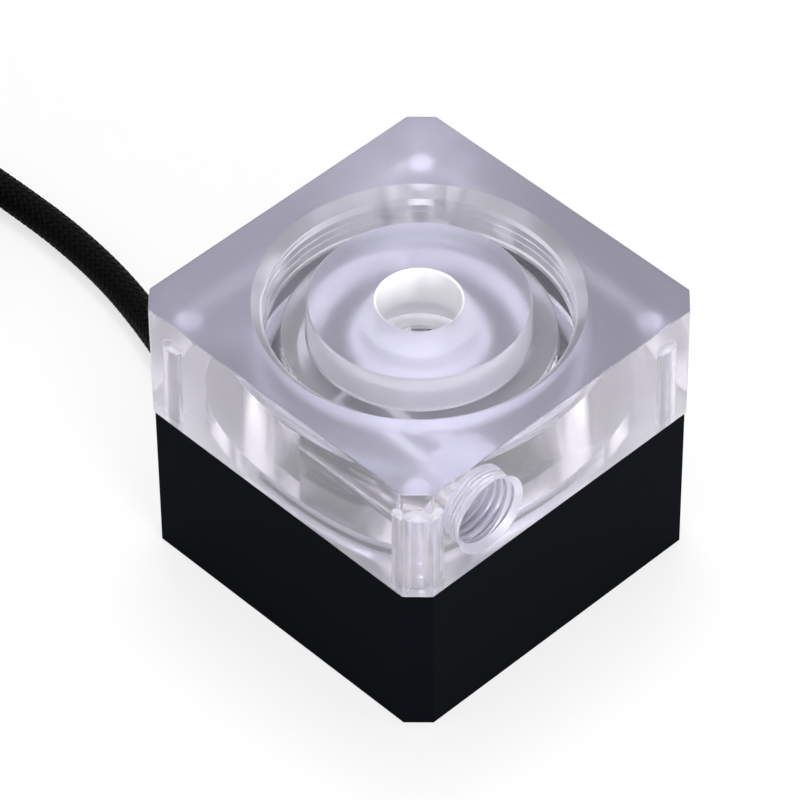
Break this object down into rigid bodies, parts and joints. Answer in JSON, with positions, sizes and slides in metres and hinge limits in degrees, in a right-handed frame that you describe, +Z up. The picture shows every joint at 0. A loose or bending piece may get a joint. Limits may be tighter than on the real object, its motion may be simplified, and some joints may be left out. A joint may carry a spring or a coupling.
{
  "type": "liquid cooling pump",
  "caption": "Square wet-rotor pump for a liquid cooling loop: black motor housing, clear acrylic top with a threaded reservoir socket, a side outlet port and a sleeved supply cable.",
  "frame": {"origin": "middle of the housing's underside", "axes": "+Z up along the rotor's axis, +X out of the side with the outlet port, -X out of the side that the cable leaves"},
  "size_m": [0.1916, 0.1009, 0.0514],
  "materials": {
    "black_shell": "matt black anodised",
    "deck_plastic": "moulded, dark grey",
    "clear_acrylic": "polished and satin clear acrylic",
    "seal_rubber": "nitrile",
    "screw_steel": "bright zinc",
    "ball_ceramic": "polished",
    "post_steel": "ground",
    "core_steel": "stamped laminations",
    "bobbin_plastic": "moulded",
    "coil_copper": "enamelled copper",
    "board_green": "solder mask",
    "chip_black": "epoxy",
    "pad_grey": "soft silicone",
    "can_aluminium": "drawn can",
    "lead_red": "insulated wire",
    "impeller_plastic": "moulded, pale",
    "magnet_grey": "sintered ferrite",
    "liner_steel": "drawn stainless",
    "cup_carbon": "carbon",
    "grommet_rubber": "moulded",
    "sleeve_braid": "braided sleeve",
    "tie_fabric": "hook and loop strap",
    "boot_shrink": "heat-shrink tube",
    "wire_black": "insulated wire",
    "plug_plastic": "moulded nylon",
    "contact_brass": "tinned brass"
  },
  "bodies": {
    "pump": {"base_shell": "black_shell", "motor_deck": "deck_plastic", "top_block": "clear_acrylic", "chamber_seal": "seal_rubber", "clamp_screws": "screw_steel", "bearing_ball": "ball_ceramic", "pivot_post": "post_steel", "stator_core": "core_steel", "coil_bobbins": "bobbin_plastic", "stator_coils": "coil_copper", "circuit_board": "board_green", "board_screws": "screw_steel", "driver_chips": "chip_black", "thermal_pad": "pad_grey", "capacitors": "can_aluminium", "hall_sensor": "chip_black", "internal_leads": "lead_red", "cable_grommet": "grommet_rubber", "supply_cable": "sleeve_braid", "cable_coil": "sleeve_braid", "cable_tie": "tie_fabric", "cable_boot": "boot_shrink", "plug_leads": "wire_black", "plug_housing": "plug_plastic", "plug_contacts": "contact_brass"},
    "rotor": {"impeller": "impeller_plastic", "rotor_magnet": "magnet_grey", "rotor_liner": "liner_steel", "bearing_cup": "cup_carbon"}
  },
  "joints": [
    {"name": "rotor_spin", "type": "hinge", "parent": "pump", "child": "rotor", "pos_m": [0, 0, 0.03], "axis": [0, 0, 1], "continuous": true}
  ]
}
